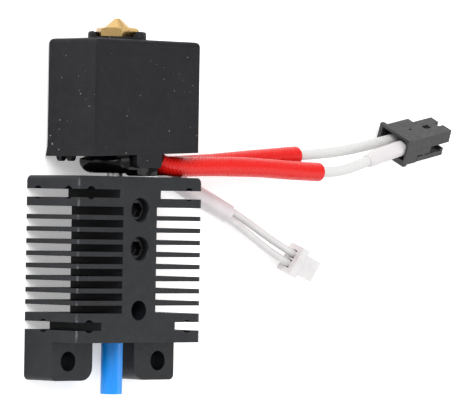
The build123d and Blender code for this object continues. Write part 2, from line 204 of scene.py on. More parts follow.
def grid_shell(name, rings, closed_ends=True):
    """Skin over rings of points; each ring is a closed loop of equal length."""
    bm = bmesh.new()
    made = [[bm.verts.new(p) for p in ring] for ring in rings]
    for near, far in zip(made, made[1:]):
        join_rings(bm, near, far)
    if closed_ends:
        bm.faces.new(made[0][::-1])
        bm.faces.new(made[-1])
    bmesh.ops.recalc_face_normals(bm, faces=bm.faces)
    return link_mesh(name, bm)


def lathe(name, profile, centre=(0.0, 0.0), lift=along_y, steps=64):
    """Turned piece from (height, radius) pairs; a profile that ends where it starts is a ring."""
    ring_like = profile[0] == profile[-1]
    rings = []
    for height, radius in profile:
        loop = circle(max(radius, 0.001), *centre, steps)
        rings.append([lift(a, b, height) for a, b in loop])
    obj = grid_shell(name, rings, not ring_like)
    if ring_like:
        bm = bmesh.new()
        bm.from_mesh(obj.data)
        bmesh.ops.remove_doubles(bm, verts=bm.verts, dist=1e-5)
        bmesh.ops.recalc_face_normals(bm, faces=bm.faces)
        bm.to_mesh(obj.data)
        bm.free()
    return obj


def threaded_rod(name, radius, depth, pitch, low, high, centre=(0.0, 0.0), lift=along_z):
    """Rod with a single-start V thread, for a screw's outside or as the cutter of a tapped hole."""
    around, per_pitch = 40, 8
    count = max(2, round((high - low) / pitch * per_pitch))
    rings = []
    for j in range(count + 1):
        height = low + (high - low) * j / count
        ring = []
        for i in range(around):
            turn = 2 * math.pi * i / around
            phase = (height / pitch - i / around) % 1.0
            r = radius - depth * abs(2 * phase - 1)
            ring.append(lift(centre[0] + r * math.cos(turn), centre[1] + r * math.sin(turn), height))
        rings.append(ring)
    return grid_shell(name, rings)


def apply_modifiers(obj):
    graph = bpy.context.evaluated_depsgraph_get()
    mesh = bpy.data.meshes.new_from_object(obj.evaluated_get(graph))
    old = obj.data
    obj.modifiers.clear()
    obj.data = mesh
    bpy.data.meshes.remove(old)
    return obj


def carve(obj, *tools, operation="DIFFERENCE"):
    """Cuts each tool from a piece, or joins it on, and removes the tool."""
    for tool in tools:
        step = obj.modifiers.new("carve", "BOOLEAN")
        step.operation = operation
        step.solver = "EXACT"
        step.object = tool
        apply_modifiers(obj)
        bpy.data.objects.remove(tool)
    return obj


def join_on(obj, *tools):
    return carve(obj, *tools, operation="UNION")


def soften(obj, width=EDGE, segments=2, angle=40):
    """Rounds every edge sharper than the angle."""
    bevel = obj.modifiers.new("soften", "BEVEL")
    bevel.width = width
    bevel.segments = segments
    bevel.limit_method = "ANGLE"
    bevel.angle_limit = math.radians(angle)
    bevel.use_clamp_overlap = True
    bevel.miter_outer = "MITER_ARC"
    return apply_modifiers(obj)


def weld(obj, distance=0.002):
    bm = bmesh.new()
    bm.from_mesh(obj.data)
    bmesh.ops.remove_doubles(bm, verts=bm.verts, dist=distance)
    bmesh.ops.dissolve_degenerate(bm, edges=bm.edges, dist=distance / 2)
    bm.to_mesh(obj.data)
    bm.free()
    return obj


def settle(obj, material, slot, body, *nodes, smooth_angle=35, place=None):
    """Scales a finished piece to metres and gives it its material, body and CAD nodes; the slot argument
    is not used.
    """
    matrix = Matrix.Scale(MM, 4) @ (place or Matrix.Identity(4))
    obj.data.transform(matrix)
    obj.data.materials.clear()
    obj.data.materials.append(material)
    obj.data.shade_smooth()
    obj.data.set_sharp_from_angle(angle=math.radians(smooth_angle))
    even = obj.modifiers.new("even", "WEIGHTED_NORMAL")
    even.keep_sharp = True
    apply_modifiers(obj)
    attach(obj, body)
    if nodes:
        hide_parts(*nodes)
    return obj


# ------------ materials

def new_material(name, color, roughness, metallic=0.0, specular=0.5):
    material = bpy.data.materials.new(name)
    material.use_nodes = True
    shader = material.node_tree.nodes["Principled BSDF"]
    shader.inputs["Base Color"].default_value = (*color, 1)
    shader.inputs["Roughness"].default_value = roughness
    shader.inputs["Metallic"].default_value = metallic
    shader.inputs["Specular IOR Level"].default_value = specular
    return material, material.node_tree, shader


def coordinates(tree, stretch=(1, 1, 1)):
    """Place on the piece in millimetres, squeezed along an axis by its stretch."""
    source = tree.nodes.new("ShaderNodeTexCoord")
    scale = tree.nodes.new("ShaderNodeMapping")
    scale.inputs["Scale"].default_value = [s / MM for s in stretch]
    tree.links.new(source.outputs["Object"], scale.inputs["Vector"])
    return scale.outputs["Vector"]


def noise_field(tree, vector, scale, detail=4.0):
    """Noise with a number of lumps per millimetre."""
    field = tree.nodes.new("ShaderNodeTexNoise")
    field.inputs["Scale"].default_value = scale
    field.inputs["Detail"].default_value = detail
    field.inputs["Roughness"].default_value = 0.55
    tree.links.new(vector, field.inputs["Vector"])
    return field.outputs["Fac"]


def ramp(tree, value, stops):
    """Colour ramp from (position, colour) stops; a grey is one number."""
    node = tree.nodes.new("ShaderNodeValToRGB")
    elements = node.color_ramp.elements
    while len(elements) < len(stops):
        elements.new(0.5)
    for element, (position, color) in zip(elements, stops):
        element.position = position
        rgb = (color,) * 3 if isinstance(color, (int, float)) else color
        element.color = (*rgb, 1)
    tree.links.new(value, node.inputs["Fac"])
    return node.outputs["Color"]


def vary_roughness(tree, shader, value, low, high):
    node = tree.nodes.new("ShaderNodeMapRange")
    node.inputs["From Min"].default_value = 0.3
    node.inputs["From Max"].default_value = 0.7
    node.inputs["To Min"].default_value = low
    node.inputs["To Max"].default_value = high
    tree.links.new(value, node.inputs["Value"])
    tree.links.new(node.outputs["Result"], shader.inputs["Roughness"])


def add_bump(tree, shader, value, depth_mm):
    """Bump of a given depth; a second call adds to the first."""
    bump = tree.nodes.new("ShaderNodeBump")
    bump.inputs["Strength"].default_value = 1.0
    bump.inputs["Distance"].default_value = depth_mm * MM
    socket = shader.inputs["Normal"]
    if socket.is_linked:
        tree.links.new(socket.links[0].from_socket, bump.inputs["Normal"])
    tree.links.new(value, bump.inputs["Height"])
    tree.links.new(bump.outputs["Normal"], socket)


def tint(tree, shader, color, spread, value):
    """Base colour that runs a little darker and lighter with a noise value."""
    dark = [c * (1 - spread) for c in color]
    light = [min(1.0, c * (1 + spread)) for c in color]
    mixed = ramp(tree, value, [(0.3, dark), (0.7, light)])
    tree.links.new(mixed, shader.inputs["Base Color"])


def mix_onto(tree, shader, mask, color):
    """Lays a second colour over the base colour where the mask is 1."""
    mix = tree.nodes.new("ShaderNodeMix")
    mix.data_type = "RGBA"
    tree.links.new(mask, mix.inputs["Factor"])
    tree.links.new(shader.inputs["Base Color"].links[0].from_socket, mix.inputs["A"])
    mix.inputs["B"].default_value = (*color, 1)
    tree.links.new(mix.outputs["Result"], shader.inputs["Base Color"])


def painted_corner_highlights(tree, shader, place, highlight_color):
    """Painted highlights: small bright patches along the two front corners of the heatsink, where the
    corners catch the light.
    """
    split = tree.nodes.new("ShaderNodeSeparateXYZ")
    tree.links.new(place, split.inputs["Vector"])
    out = tree.nodes.new("ShaderNodeMath")
    out.operation = "ABSOLUTE"
    tree.links.new(split.outputs["X"], out.inputs[0])
    reach = tree.nodes.new("ShaderNodeMath")
    reach.operation = "ADD"
    tree.links.new(out.outputs["Value"], reach.inputs[0])
    tree.links.new(split.outputs["Z"], reach.inputs[1])
    edge = tree.nodes.new("ShaderNodeMapRange")
    edge.inputs["From Min"].default_value = SINK_HALF + SINK_DEPTH - 0.4
    edge.inputs["From Max"].default_value = SINK_HALF + SINK_DEPTH - 0.15
    tree.links.new(reach.outputs["Value"], edge.inputs["Value"])
    patches = ramp(tree, noise_field(tree, place, 0.9, 2), [(0.45, 0.15), (0.6, 1.0)])
    both = tree.nodes.new("ShaderNodeMath")
    both.operation = "MULTIPLY"
    tree.links.new(edge.outputs["Result"], both.inputs[0])
    tree.links.new(patches, both.inputs[1])
    mix_onto(tree, shader, both.outputs["Value"], highlight_color)


def black_anodised():
    color = (0.0075, 0.0085, 0.011)
    material, tree, shader = new_material("black_anodised", color, 0.42, 0.0, 0.22)
    place = coordinates(tree)
    tint(tree, shader, color, 0.25, noise_field(tree, place, 0.35))
    vary_roughness(tree, shader, noise_field(tree, place, 1.6), 0.36, 0.5)
    add_bump(tree, shader, noise_field(tree, place, 14, 2), 0.012)
    add_bump(tree, shader, noise_field(tree, coordinates(tree, (1, 1, 0.15)), 5, 2), 0.006)
    # painted highlights in a lighter grey along the heatsink's two front corners
    painted_corner_highlights(tree, shader, place, (0.09, 0.09, 0.1))
    return material


def sock_silicone():
    color = (0.0085, 0.0086, 0.0105)
    material, tree, shader = new_material("sock_silicone", color, 0.6, 0.0, 0.18)
    place = coordinates(tree)
    tint(tree, shader, color, 0.15, noise_field(tree, place, 0.2))
    specks = noise_field(tree, place, 1.9, 1.0)
    clusters = noise_field(tree, place, 0.16, 1.0)
    fine = ramp(tree, specks, [(0.735, 0.0), (0.765, 1.0)])
    where = ramp(tree, clusters, [(0.46, 0.0), (0.58, 1.0)])
    dust = tree.nodes.new("ShaderNodeMath")
    dust.operation = "MULTIPLY"
    tree.links.new(fine, dust.inputs[0])
    tree.links.new(where, dust.inputs[1])
    mix_onto(tree, shader, dust.outputs["Value"], (0.3, 0.3, 0.3))
    vary_roughness(tree, shader, noise_field(tree, place, 0.8), 0.52, 0.68)
    add_bump(tree, shader, noise_field(tree, place, 0.25, 1), 0.12)
    add_bump(tree, shader, noise_field(tree, place, 9, 2), 0.01)
    return material


def collar_silicone():
    color = (0.003, 0.003, 0.0035)
    material, tree, shader = new_material("collar_silicone", color, 0.1, 0.0, 0.16)
    place = coordinates(tree)
    tint(tree, shader, color, 0.3, noise_field(tree, place, 0.6))
    vary_roughness(tree, shader, noise_field(tree, place, 0.6), 0.05, 0.16)
    add_bump(tree, shader, noise_field(tree, place, 0.4, 0), 0.5)
    return material


def turned_metal(name, color, roughness, across=(1, 1, 1), depth=0.004):
    """Machined metal whose fine tool marks run round its length."""
    material, tree, shader = new_material(name, color, roughness, 1.0)
    place = coordinates(tree)
    tint(tree, shader, color, 0.08, noise_field(tree, place, 0.5))
    marks = noise_field(tree, coordinates(tree, across), 9, 2)
    vary_roughness(tree, shader, marks, roughness * 0.75, roughness * 1.3)
    add_bump(tree, shader, marks, depth)
    return material


def cast_ceramic():
    color = (0.72, 0.7, 0.64)
    material, tree, shader = new_material("cartridge_ceramic", color, 0.8)
    place = coordinates(tree)
    tint(tree, shader, color, 0.12, noise_field(tree, place, 1.2))
    add_bump(tree, shader, noise_field(tree, place, 7), 0.04)
    return material


def blue_ptfe():
    color = (0.006, 0.26, 0.8)
    material, tree, shader = new_material("blue_ptfe", color, 0.32, 0.0, 0.4)
    place = coordinates(tree, (1, 0.12, 1))
    tint(tree, shader, color, 0.12, noise_field(tree, place, 0.8))
    vary_roughness(tree, shader, noise_field(tree, place, 2), 0.24, 0.4)
    add_bump(tree, shader, noise_field(tree, place, 5, 2), 0.006)
    shader.inputs["Subsurface Weight"].default_value = 0.25
    shader.inputs["Subsurface Radius"].default_value = (0.05, 0.3, 1.0)
    shader.inputs["Subsurface Scale"].default_value = 0.001
    return material


def moulded_plastic(name, color, roughness, spread=0.1, glow=0.0):
    """Moulded plastic with a fine spark-eroded grain."""
    material, tree, shader = new_material(name, color, roughness)
    place = coordinates(tree)
    tint(tree, shader, color, spread, noise_field(tree, place, 0.5))
    vary_roughness(tree, shader, noise_field(tree, place, 1.5), roughness * 0.85, roughness * 1.15)
    add_bump(tree, shader, noise_field(tree, place, 12, 2), 0.01)
    if glow:
        shader.inputs["Subsurface Weight"].default_value = glow
        shader.inputs["Subsurface Radius"].default_value = (1.0, 1.0, 0.9)
        shader.inputs["Subsurface Scale"].default_value = 0.001
    return material


def strand_coordinates(tree, around, along):
    """Place on a tube's skin, from its own round-and-along map."""
    source = tree.nodes.new("ShaderNodeTexCoord")
    scale = tree.nodes.new("ShaderNodeMapping")
    scale.inputs["Scale"].default_value = (around, along, 1)
    tree.links.new(source.outputs["UV"], scale.inputs["Vector"])
    return scale.outputs["Vector"]


def braid_height(tree, around, along):
    """Two sets of crossed diagonal strands, as a height from 0 to 1."""
    heights = []
    for side in (-1, 1):
        wave = tree.nodes.new("ShaderNodeTexWave")
        wave.wave_type = "BANDS"
        wave.bands_direction = "DIAGONAL"
        wave.inputs["Scale"].default_value = 0.5
        vector = strand_coordinates(tree, around, side * along)
        tree.links.new(vector, wave.inputs["Vector"])
        heights.append(wave.outputs["Fac"])
    top = tree.nodes.new("ShaderNodeMath")
    top.operation = "MAXIMUM"
    tree.links.new(heights[0], top.inputs[0])
    tree.links.new(heights[1], top.inputs[1])
    return top.outputs["Value"]


def braided(name, color, spread, roughness, around, along, depth, specular=0.3):
    """Braided glass-fibre skin under a thin coat."""
    material, tree, shader = new_material(name, color, roughness, 0.0, specular)
    height = braid_height(tree, around, along)
    dark = [c * (1 - spread) for c in color]
    shade = ramp(tree, height, [(0.1, dark), (0.75, color)])
    tree.links.new(shade, shader.inputs["Base Color"])
    add_bump(tree, shader, height, depth)
    add_bump(tree, shader, noise_field(tree, coordinates(tree), 5, 3), depth * 0.4)
    return material, tree, shader


def red_sleeving():
    material, tree, shader = braided("red_sleeve", (0.68, 0.009, 0.006), 0.25, 0.34, 16, 1.6, 0.05, 0.12)
    vary_roughness(tree, shader, noise_field(tree, coordinates(tree), 0.7), 0.22, 0.38)
    shader.inputs["Coat Weight"].default_value = 0.1
    shader.inputs["Coat Roughness"].default_value = 0.15
    return material


MATERIALS = {
    "black_anodised": black_anodised(),
    "sock_silicone": sock_silicone(),
    "collar_silicone": collar_silicone(),
    "steel": turned_metal("steel", (0.56, 0.56, 0.57), 0.3, (0.2, 1, 0.2)),
    "dark_steel": turned_metal("dark_steel", (0.03, 0.03, 0.032), 0.42),
    "brass": turned_metal("brass", (0.54, 0.36, 0.145), 0.27, (0.3, 1, 0.3), 0.006),
    "block_aluminium": turned_metal("block_aluminium", (0.42, 0.42, 0.43), 0.42, (0.2, 1, 1), 0.008),
    "cartridge_steel": turned_metal("cartridge_steel", (0.6, 0.6, 0.6), 0.3, (1, 0.2, 1)),
    "tinned_contact": turned_metal("tinned_contact", (0.72, 0.71, 0.68), 0.3),
    "cartridge_ceramic": cast_ceramic(),
    "blue_ptfe": blue_ptfe(),
    "black_plug": moulded_plastic("black_plug", (0.014, 0.0135, 0.016), 0.5, 0.12),
    "white_plug": moulded_plastic("white_plug", (0.6, 0.585, 0.585), 0.42, 0.05, 0.2),
    "white_wire": moulded_plastic("white_wire", (0.58, 0.57, 0.57), 0.45, 0.06, 0.1),
    "white_shrink": moulded_plastic("white_shrink", (0.6, 0.565, 0.58), 0.36, 0.05, 0.15),
    "braided_wire": braided("braided_wire", (0.63, 0.63, 0.62), 0.2, 0.62, 12, 1.6, 0.035)[0],
    "white_sleeve": braided("white_sleeve", (0.62, 0.59, 0.595), 0.08, 0.5, 18, 1.7, 0.015)[0],
    "red_sleeve": red_sleeving(),
}


# ------------ leads

HEATER_WIRE_D = 2.0
SENSOR_WIRE_D = 1.45
RED_SLEEVE_R = 1.8
RED_START = 8.3                 # where a sleeve starts or ends is a value of X on the wire
RED_END_FRONT = 51.8
RED_END_REAR = 49.4
CRIMP_X = (65.2, 74.8)
CRIMP_R = 1.5
SLEEVE_BORE_R = 1.1
SHRINK_UPPER_X = (19.6, 33.6)
SHRINK_LOWER_X = (18.8, 33.0)
SHRINK_R = 1.82

HEATER_FRONT = [
    (7.4, 6.4, 8.85), (7.4, 3.9, 9.05), (9.2, 2.15, 9.45), (13.5, 2.0, 9.65), (21, 2.25, 9.2),
    (33, 2.35, 8.5), (45, 1.9, 7.7), (55.5, 1.65, 7.1), (62.3, 3.0, 6.8),
    (70.05, 5.8, 6.63), (77.29, 7.33, 6.63),
]
HEATER_REAR = [
    (7.4, 6.4, 5.95), (7.4, 3.9, 5.75), (9.2, 2.15, 5.72), (13.5, 2.15, 5.8), (21, 2.55, 5.4),
    (32, 3.35, 4.55), (43, 4.3, 3.75), (53.5, 5.1, 3.3), (61.5, 5.85, 3.4),
    (69.72, 7.38, 3.52), (76.96, 8.91, 3.52),
]
SENSOR_UPPER = [
    (11.94, 5.2, 3.6), (12.2, 3.4, 3.15), (14.3, 2.7, 2.75), (17.65, 1.9, 2.3),
    (21.75, -0.65, 1.95), (28.5, -3.45, 1.85), (35.85, -6.5, 1.95), (44.6, -11.7, 3.2),
    (49.35, -13.71, 3.26),
]
SENSOR_LOWER = [
    (10.46, 5.2, 3.6), (10.75, 2.85, 3.1), (13.0, 1.45, 2.7), (17.0, 0.45, 2.3),
    (21.05, -2.15, 1.95), (27.9, -4.93, 1.85), (35.3, -7.95, 1.9), (43.9, -13.55, 2.62),
    (48.64, -15.47, 2.64),
]


def lead_curve(route):
    """Smooth spline over a route, whose points stand above the nozzle-side face."""
    data = bpy.data.curves.new("route", "CURVE")
    data.dimensions = "3D"
    data.resolution_u = 16
    spline = data.splines.new("NURBS")
    spline.points.add(len(route) - 1)
    for point, (x, y, z) in zip(spline.points, route):
        point.co = (x * MM, (FACE + y) * MM, z * MM, 1)
    spline.order_u = 3
    spline.use_endpoint_u = True
    return link_object("route", data)


def lead_line(route):
    """Points along a route's spline, in metres."""
    obj = lead_curve(route)
    bpy.context.view_layer.update()
    mesh = bpy.data.meshes.new_from_object(obj)
    line = [v.co.copy() for v in mesh.vertices]
    bpy.data.objects.remove(obj)
    bpy.data.meshes.remove(mesh)
    return line


def line_length(line):
    return sum((b - a).length for a, b in zip(line, line[1:]))


def even_line(line, gap):
    """The same line with its points an even gap apart."""
    total = line_length(line)
    count = max(2, round(total / gap))
    step = total / count
    points, walked, target = [line[0].copy()], 0.0, step
    for a, b in zip(line, line[1:]):
        run = (b - a).length
        while target <= walked + run + 1e-9 and len(points) < count:
            points.append(a.lerp(b, (target - walked) / run))
            target += step
        walked += run
    points.append(line[-1].copy())
    return points


def between(line, x0, x1):
    """Part of a line whose x lies between two values in millimetres."""
    return [p for p in line if x0 * MM <= p.x <= x1 * MM]


def tube_rings(bm, line, radius, around, swell):
    """Rings of points round a line in metres, and how far along it in millimetres each stands."""
    side = None
    walked, marks, rings = 0.0, [], []
    for i, point in enumerate(line):
        ahead = line[min(i + 1, len(line) - 1)] - line[max(i - 1, 0)]
        ahead.normalize()
        guide = Vector((0, 0, 1)) if side is None else side
        side = (guide - ahead * guide.dot(ahead)).normalized()
        other = ahead.cross(side)
        if i:
            walked += (point - line[i - 1]).length
        marks.append(walked / MM)
        ring = []
        for k in range(around):
            turn = 2 * math.pi * k / around
            r = radius * (swell(marks[-1], turn) if swell else 1.0)
            ring.append(bm.verts.new(point + (side * math.cos(turn) + other * math.sin(turn)) * r * MM))
        rings.append(ring)
    return rings, marks


def close_end(bm, ring, point, deep_point, radius, inner):
    """Ends a tube at a point: flat, or with a bore down to the deep point."""
    if not inner:
        middle = bm.verts.new(point)
        for k, vert in enumerate(ring):
            bm.faces.new((vert, ring[(k + 1) % len(ring)], middle))
        return
    hole = [bm.verts.new(point + (v.co - point) * inner / radius) for v in ring]
    deep = [bm.verts.new(v.co + (deep_point - point)) for v in hole]
    join_rings(bm, ring, hole)
    join_rings(bm, hole, deep)


def skin(name, line, radius, inner=0.0, around=28, swell=None):
    """Tube mesh along a line in metres, with a round-and-along map; inner opens its bore."""
    bm = bmesh.new()
    layer = bm.loops.layers.uv.new("round_and_along")
    rings, marks = tube_rings(bm, line, radius, around, swell)
    for j in range(len(rings) - 1):
        for k, face in enumerate(join_rings(bm, rings[j], rings[j + 1])):
            near, far = k / around, (k + 1) / around
            places = ((near, marks[j]), (far, marks[j]), (far, marks[j + 1]), (near, marks[j + 1]))
            for loop, place in zip(face.loops, places):
                loop[layer].uv = place
    close_end(bm, rings[0], line[0], line[3], radius, inner)
    close_end(bm, rings[-1], line[-1], line[-4], radius, inner)
    bmesh.ops.recalc_face_normals(bm, faces=bm.faces)
    return link_mesh(name, bm)


def dress(obj, slot, body, *nodes):
    """Material, slot, body and CAD nodes for a piece already in metres."""
    obj.data.materials.append(MATERIALS[slot])
    obj.data.shade_smooth()
    obj.data.set_sharp_from_angle(angle=math.radians(50))
    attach(obj, body)
    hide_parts(*nodes)
    return obj


def uneven(period, amount, seed):
    """Slow swelling of a soft sleeve along and round its length."""
    def swell(along, turn):
        ripple = math.sin(along / period + seed) * math.cos(turn * 2 + along / period * 0.4)
        return 1 + amount * ripple
    return swell


def heater_lead(side, route, red_end):
    """One heater wire with its red sleeve."""
    line = lead_line(route)
    smooth = even_line(line, 0.25 * MM)
    wire = skin("heater_wire_" + side + "_braid", smooth, HEATER_WIRE_D / 2, around=24)
    dress(wire, "braided_wire", "hotend", "heater_wire_" + side)
    red_line = even_line(between(smooth, RED_START, red_end), 0.5 * MM)
    ripple = uneven(3.1, 0.02, red_end)
    red = skin("heater_sleeve_" + side + "_skin", red_line, RED_SLEEVE_R, SLEEVE_BORE_R, 36, ripple)
    dress(red, "red_sleeve", "hotend", "heater_sleeve_" + side)
    return wire, line, smooth, [red]


def crimp_sleeve(smooth):
    """White sleeve over the crimp of the front heater wire."""
    line = even_line(between(smooth, *CRIMP_X), 0.4 * MM)

    def shrunk(along, turn):
        return 1 - 0.24 * math.exp(-along / 0.8) + 0.02 * math.sin(along * 1.1 + turn)

    sleeve = skin("crimp_sleeve_skin", line, CRIMP_R, SLEEVE_BORE_R, 32, shrunk)
    return dress(sleeve, "white_sleeve", "hotend", "crimp_sleeve")


def sensor_wire(side, route):
    line = lead_line(route)
    smooth = even_line(line, 0.35 * MM)
    wire = skin("thermistor_wire_" + side + "_skin", smooth, SENSOR_WIRE_D / 2, around=20)
    dress(wire, "white_wire", "hotend", "thermistor_wire_" + side)
    return wire, line, smooth


heater_front = heater_lead("front", HEATER_FRONT, RED_END_FRONT)
heater_front[3].append(crimp_sleeve(heater_front[2]))
heater_rear = heater_lead("rear", HEATER_REAR, RED_END_REAR)
sensor_upper = sensor_wire("upper", SENSOR_UPPER)
sensor_lower = sensor_wire("lower", SENSOR_LOWER)


def shrink_sleeve():
    """Shrunk sleeve over both thermistor wires, drawn in a little between them."""
    upper = between(sensor_upper[2], *SHRINK_UPPER_X)
    lower = between(sensor_lower[2], *SHRINK_LOWER_X)
    pairs = zip(even_line(upper, line_length(upper) / 40), even_line(lower, line_length(lower) / 40))
    middle = [(a + b) / 2 for a, b in pairs]

    def waist(along, turn):
        return 1 - 0.04 * math.cos(turn * 2) ** 2 + 0.01 * math.sin(along * 1.3)

    sleeve = skin("thermistor_sleeve_skin", middle, SHRINK_R, 1.58, 36, waist)
    return dress(sleeve, "white_shrink", "hotend", "thermistor_sleeve")


shrink = shrink_sleeve()


# ------------ heatsink

# Names in _BELOW are distances from the nozzle-side face.
FIN_CENTRES = [FACE - 7.45 - 2.2 * k for k in range(8)]
FIN_HALF = 0.425
PLATE_GAPS = [(2.4, 3.9, 5.0), (26.3, 27.8, 9.0)]    # start and end below, half of the web
PLATES_BELOW = (5.5, 24.7)
PILLAR_HALF = 4.1
CORNER_R = 1.0
EAR_THICK = 7.4
EAR_Y = (-3.5, 4.6)
EAR_INNER_X = 5.1
EAR_INNER_R = 2.5
EAR_HOLE_X = 11
EAR_HOLE_R = 1.8
FAN_HOLE_X = 12.0
FAN_HOLE_R = 1.2
FAN_BELOW = (3.05, 27.05)
FAN_HOLE_BOTTOM = 6.0
SIDE_HOLE_Z = (11.2, 3.0)
SIDE_HOLE_IN = 7.0
LOW_HOLE_Z = 5.0
LOW_HOLE_IN = 9.2
FRONT_HOLE_BELOW = 24.15
FRONT_HOLE_R = 1.8
FRONT_HOLE_DEPTH = 4.4
SCREWS_BELOW = (6.0, 13.0)
TAPPED_R = 2.12
BARREL_LENGTH = 17
BARREL_BORE_R = 3.02
TUBE_BORE_R = 2.05


def fin_slots():
    """Boxes cut from both flanks between the plates and fins."""
    gaps = [(FACE - low, FACE - high, half) for high, low, half in PLATE_GAPS]
    edge = FACE - PLATES_BELOW[0]
    for centre in FIN_CENTRES:
        gaps.append((centre + FIN_HALF, edge, PILLAR_HALF))
        edge = centre - FIN_HALF
    gaps.append((FACE - PLATES_BELOW[1], edge, PILLAR_HALF))
    boxes = []
    for low, high, half in gaps:
        for x in ((-SINK_HALF - 2, -half), (half, SINK_HALF + 2)):
            boxes.append((x, (low, high), (-2, SINK_DEPTH + 2)))
    return boxes


def ear_outline(side):
    """Ear seen from the front: round outer corner, rounder inner one."""
    if side < 0:
        return rounded((-SINK_HALF, -EAR_INNER_X), EAR_Y, (CORNER_R, EAR_INNER_R, 0, 0))
    return rounded((EAR_INNER_X, SINK_HALF), EAR_Y, (EAR_INNER_R, CORNER_R, 0, 0))


def carve_side_holes(sink):
    """Screw holes in both flanks: two through the upper plate, one through the lower."""
    upper = [(FACE - FAN_BELOW[0], z) for z in SIDE_HOLE_Z]
    lower = [(FACE - FAN_BELOW[1], LOW_HOLE_Z)]
    for name, places, inner in (("side_holes", upper, SIDE_HOLE_IN), ("low_hole", lower, LOW_HOLE_IN)):
        for x0, x1 in ((-SINK_HALF - 1, -inner), (inner, SINK_HALF + 1)):
            carve(sink, rods(name, FAN_HOLE_R, places, x0, x1, along_x, 24))


def build_heatsink():
    """Plates, fins and ears from one block, with all its holes."""
    low = FACE - SINK_HEIGHT
    outline = rounded((-SINK_HALF, SINK_HALF), (low, FACE), (0, 0, CORNER_R, CORNER_R))
    sink = prism("heatsink_body", outline, 0, SINK_DEPTH)
    for side in (-1, 1):
        join_on(sink, prism("ear", ear_outline(side), 0, EAR_THICK))
    carve(sink, slabs("slots", fin_slots()))
    fan = [(side * FAN_HOLE_X, FACE - below) for side in (-1, 1) for below in FAN_BELOW]
    carve(sink, rods("fan_holes", FAN_HOLE_R, fan, FAN_HOLE_BOTTOM, SINK_DEPTH + 1, sides=24))
    ear = [(-EAR_HOLE_X, 0), (EAR_HOLE_X, 0)]
    carve(sink, rods("ear_holes", EAR_HOLE_R, ear, -1, EAR_THICK + 1))
    front = [(0, FACE - FRONT_HOLE_BELOW)]
    bottom = SINK_DEPTH - FRONT_HOLE_DEPTH
    carve(sink, rods("front_hole", FRONT_HOLE_R, front, bottom, SINK_DEPTH + 1))
    for below in SCREWS_BELOW:
        centre = (0, FACE - below)
        carve(sink, threaded_rod("tapping", TAPPED_R, 0.14, 0.7, AXIS_Z, SINK_DEPTH + 1, centre))
        mouth = [(SINK_DEPTH - 0.35, 1.9), (SINK_DEPTH + 0.05, 2.3), (SINK_DEPTH + 1, 2.3)]
        carve(sink, lathe("mouth", mouth, centre, along_z, 40))
    carve_side_holes(sink)
    carve(sink, rods("bore", BARREL_BORE_R, [(0, AXIS_Z)], FACE - BARREL_LENGTH, FACE + 1, along_y))
    tube_top = FACE - BARREL_LENGTH + 0.1
    carve(sink, rods("tube_bore", TUBE_BORE_R, [(0, AXIS_Z)], low - 1, tube_top, along_y))
    weld(sink)
    soften(sink, EDGE, 2, 50)
    return settle(sink, MATERIALS["black_anodised"], "black_anodised", "hotend", "heatsink")


build_heatsink()


# ------------ filament path

NECK_R = 1.45
BLOCK_Y = (FACE + 5.2, FACE + 23.2)
HEATBREAK_END = FACE + 16.4
TUBE_SEAT = FACE - 6
TUBE_LOW = FACE - 39.5
SHANK_START = FACE + 16.5
HEX_START = FACE + 23.95
HEX_END = FACE + 26.95
HEX_FLATS = 7.0
TIP = FACE + 28.7
TIP_R = 0.48
ORIFICE_R = 0.2
COLLAR_Y = (FACE + 0.6, BLOCK_Y[0])
COLLAR_BORE_R = 1.6
COLLAR_STRETCH = 0.7            # its left half is longer than a round one
COLLAR_FLAT_Z = 12.35
COLLAR_LOBE = ((0.6, 5.6), (FACE + 0.15, FACE + 3.3), (8.6, 13.2))
SCREW_TIP = AXIS_Z + 3.02
SCREW_LENGTH = 2.9
SCREW_R = 1.97
CARTRIDGE_SCREW_R = 1.47
CARTRIDGE_SCREW_X = (10.46, 12.86)
CARTRIDGE_SCREW_AT = (FACE + 13.0, 7.4)


def hexagon_prism(name, flats, low, high, centre, lift):
    radius = flats / math.sqrt(3)
    outline = []
    for k in range(6):
        turn = math.pi * k / 3
        outline.append((centre[0] + radius * math.cos(turn), centre[1] + radius * math.sin(turn)))
    return prism(name, outline, low, high, lift)


def thread_profile(start, count, pitch, crest, crest_r, root_r):
    """Plain V grooves for a turned profile, each as its crest and root."""
    profile = []
    for k in range(count):
        y = start + k * pitch
        profile += [(y, crest_r), (y + crest, root_r)]
    return profile


def build_set_screw(name, node, body, radius, low, high, centre, lift):
    """Set screw with a real thread and a hexagon socket."""
    screw = threaded_rod(name, radius, 0.1, 0.6, low + 0.15, high, centre, lift)
    carve(screw, hexagon_prism("socket", radius * 1.25, high - 1.5, high + 1, centre, lift))
    soften(screw, 0.05, 1, 60)
    return settle(screw, MATERIALS["dark_steel"], "dark_steel", body, node, smooth_angle=40)


def build_heatbreak():
    """Barrel, thin neck and threaded end, with the tube's counterbore."""
    low, start, end = FACE - BARREL_LENGTH, BLOCK_Y[0], HEATBREAK_END
    profile = [(low, TUBE_BORE_R), (low, 2.85), (low + 0.15, THREAD_R), (FACE - 0.2, THREAD_R),
               (FACE, 2.85), (FACE, NECK_R), (start, NECK_R), (start, 2.7), (start + 0.3, 2.98)]
    profile += thread_profile(start + 0.4, 10, 1.05, 0.5, 2.98, 2.6)
    profile += [(end - 0.2, 2.9), (end, 2.7), (end, BORE_R), (TUBE_SEAT, BORE_R),
                (TUBE_SEAT, TUBE_BORE_R), (low, TUBE_BORE_R)]
    obj = lathe("heatbreak_turned", profile, (0, AXIS_Z), along_y, 56)
    return settle(obj, MATERIALS["steel"], "steel", "hotend", "heatbreak")


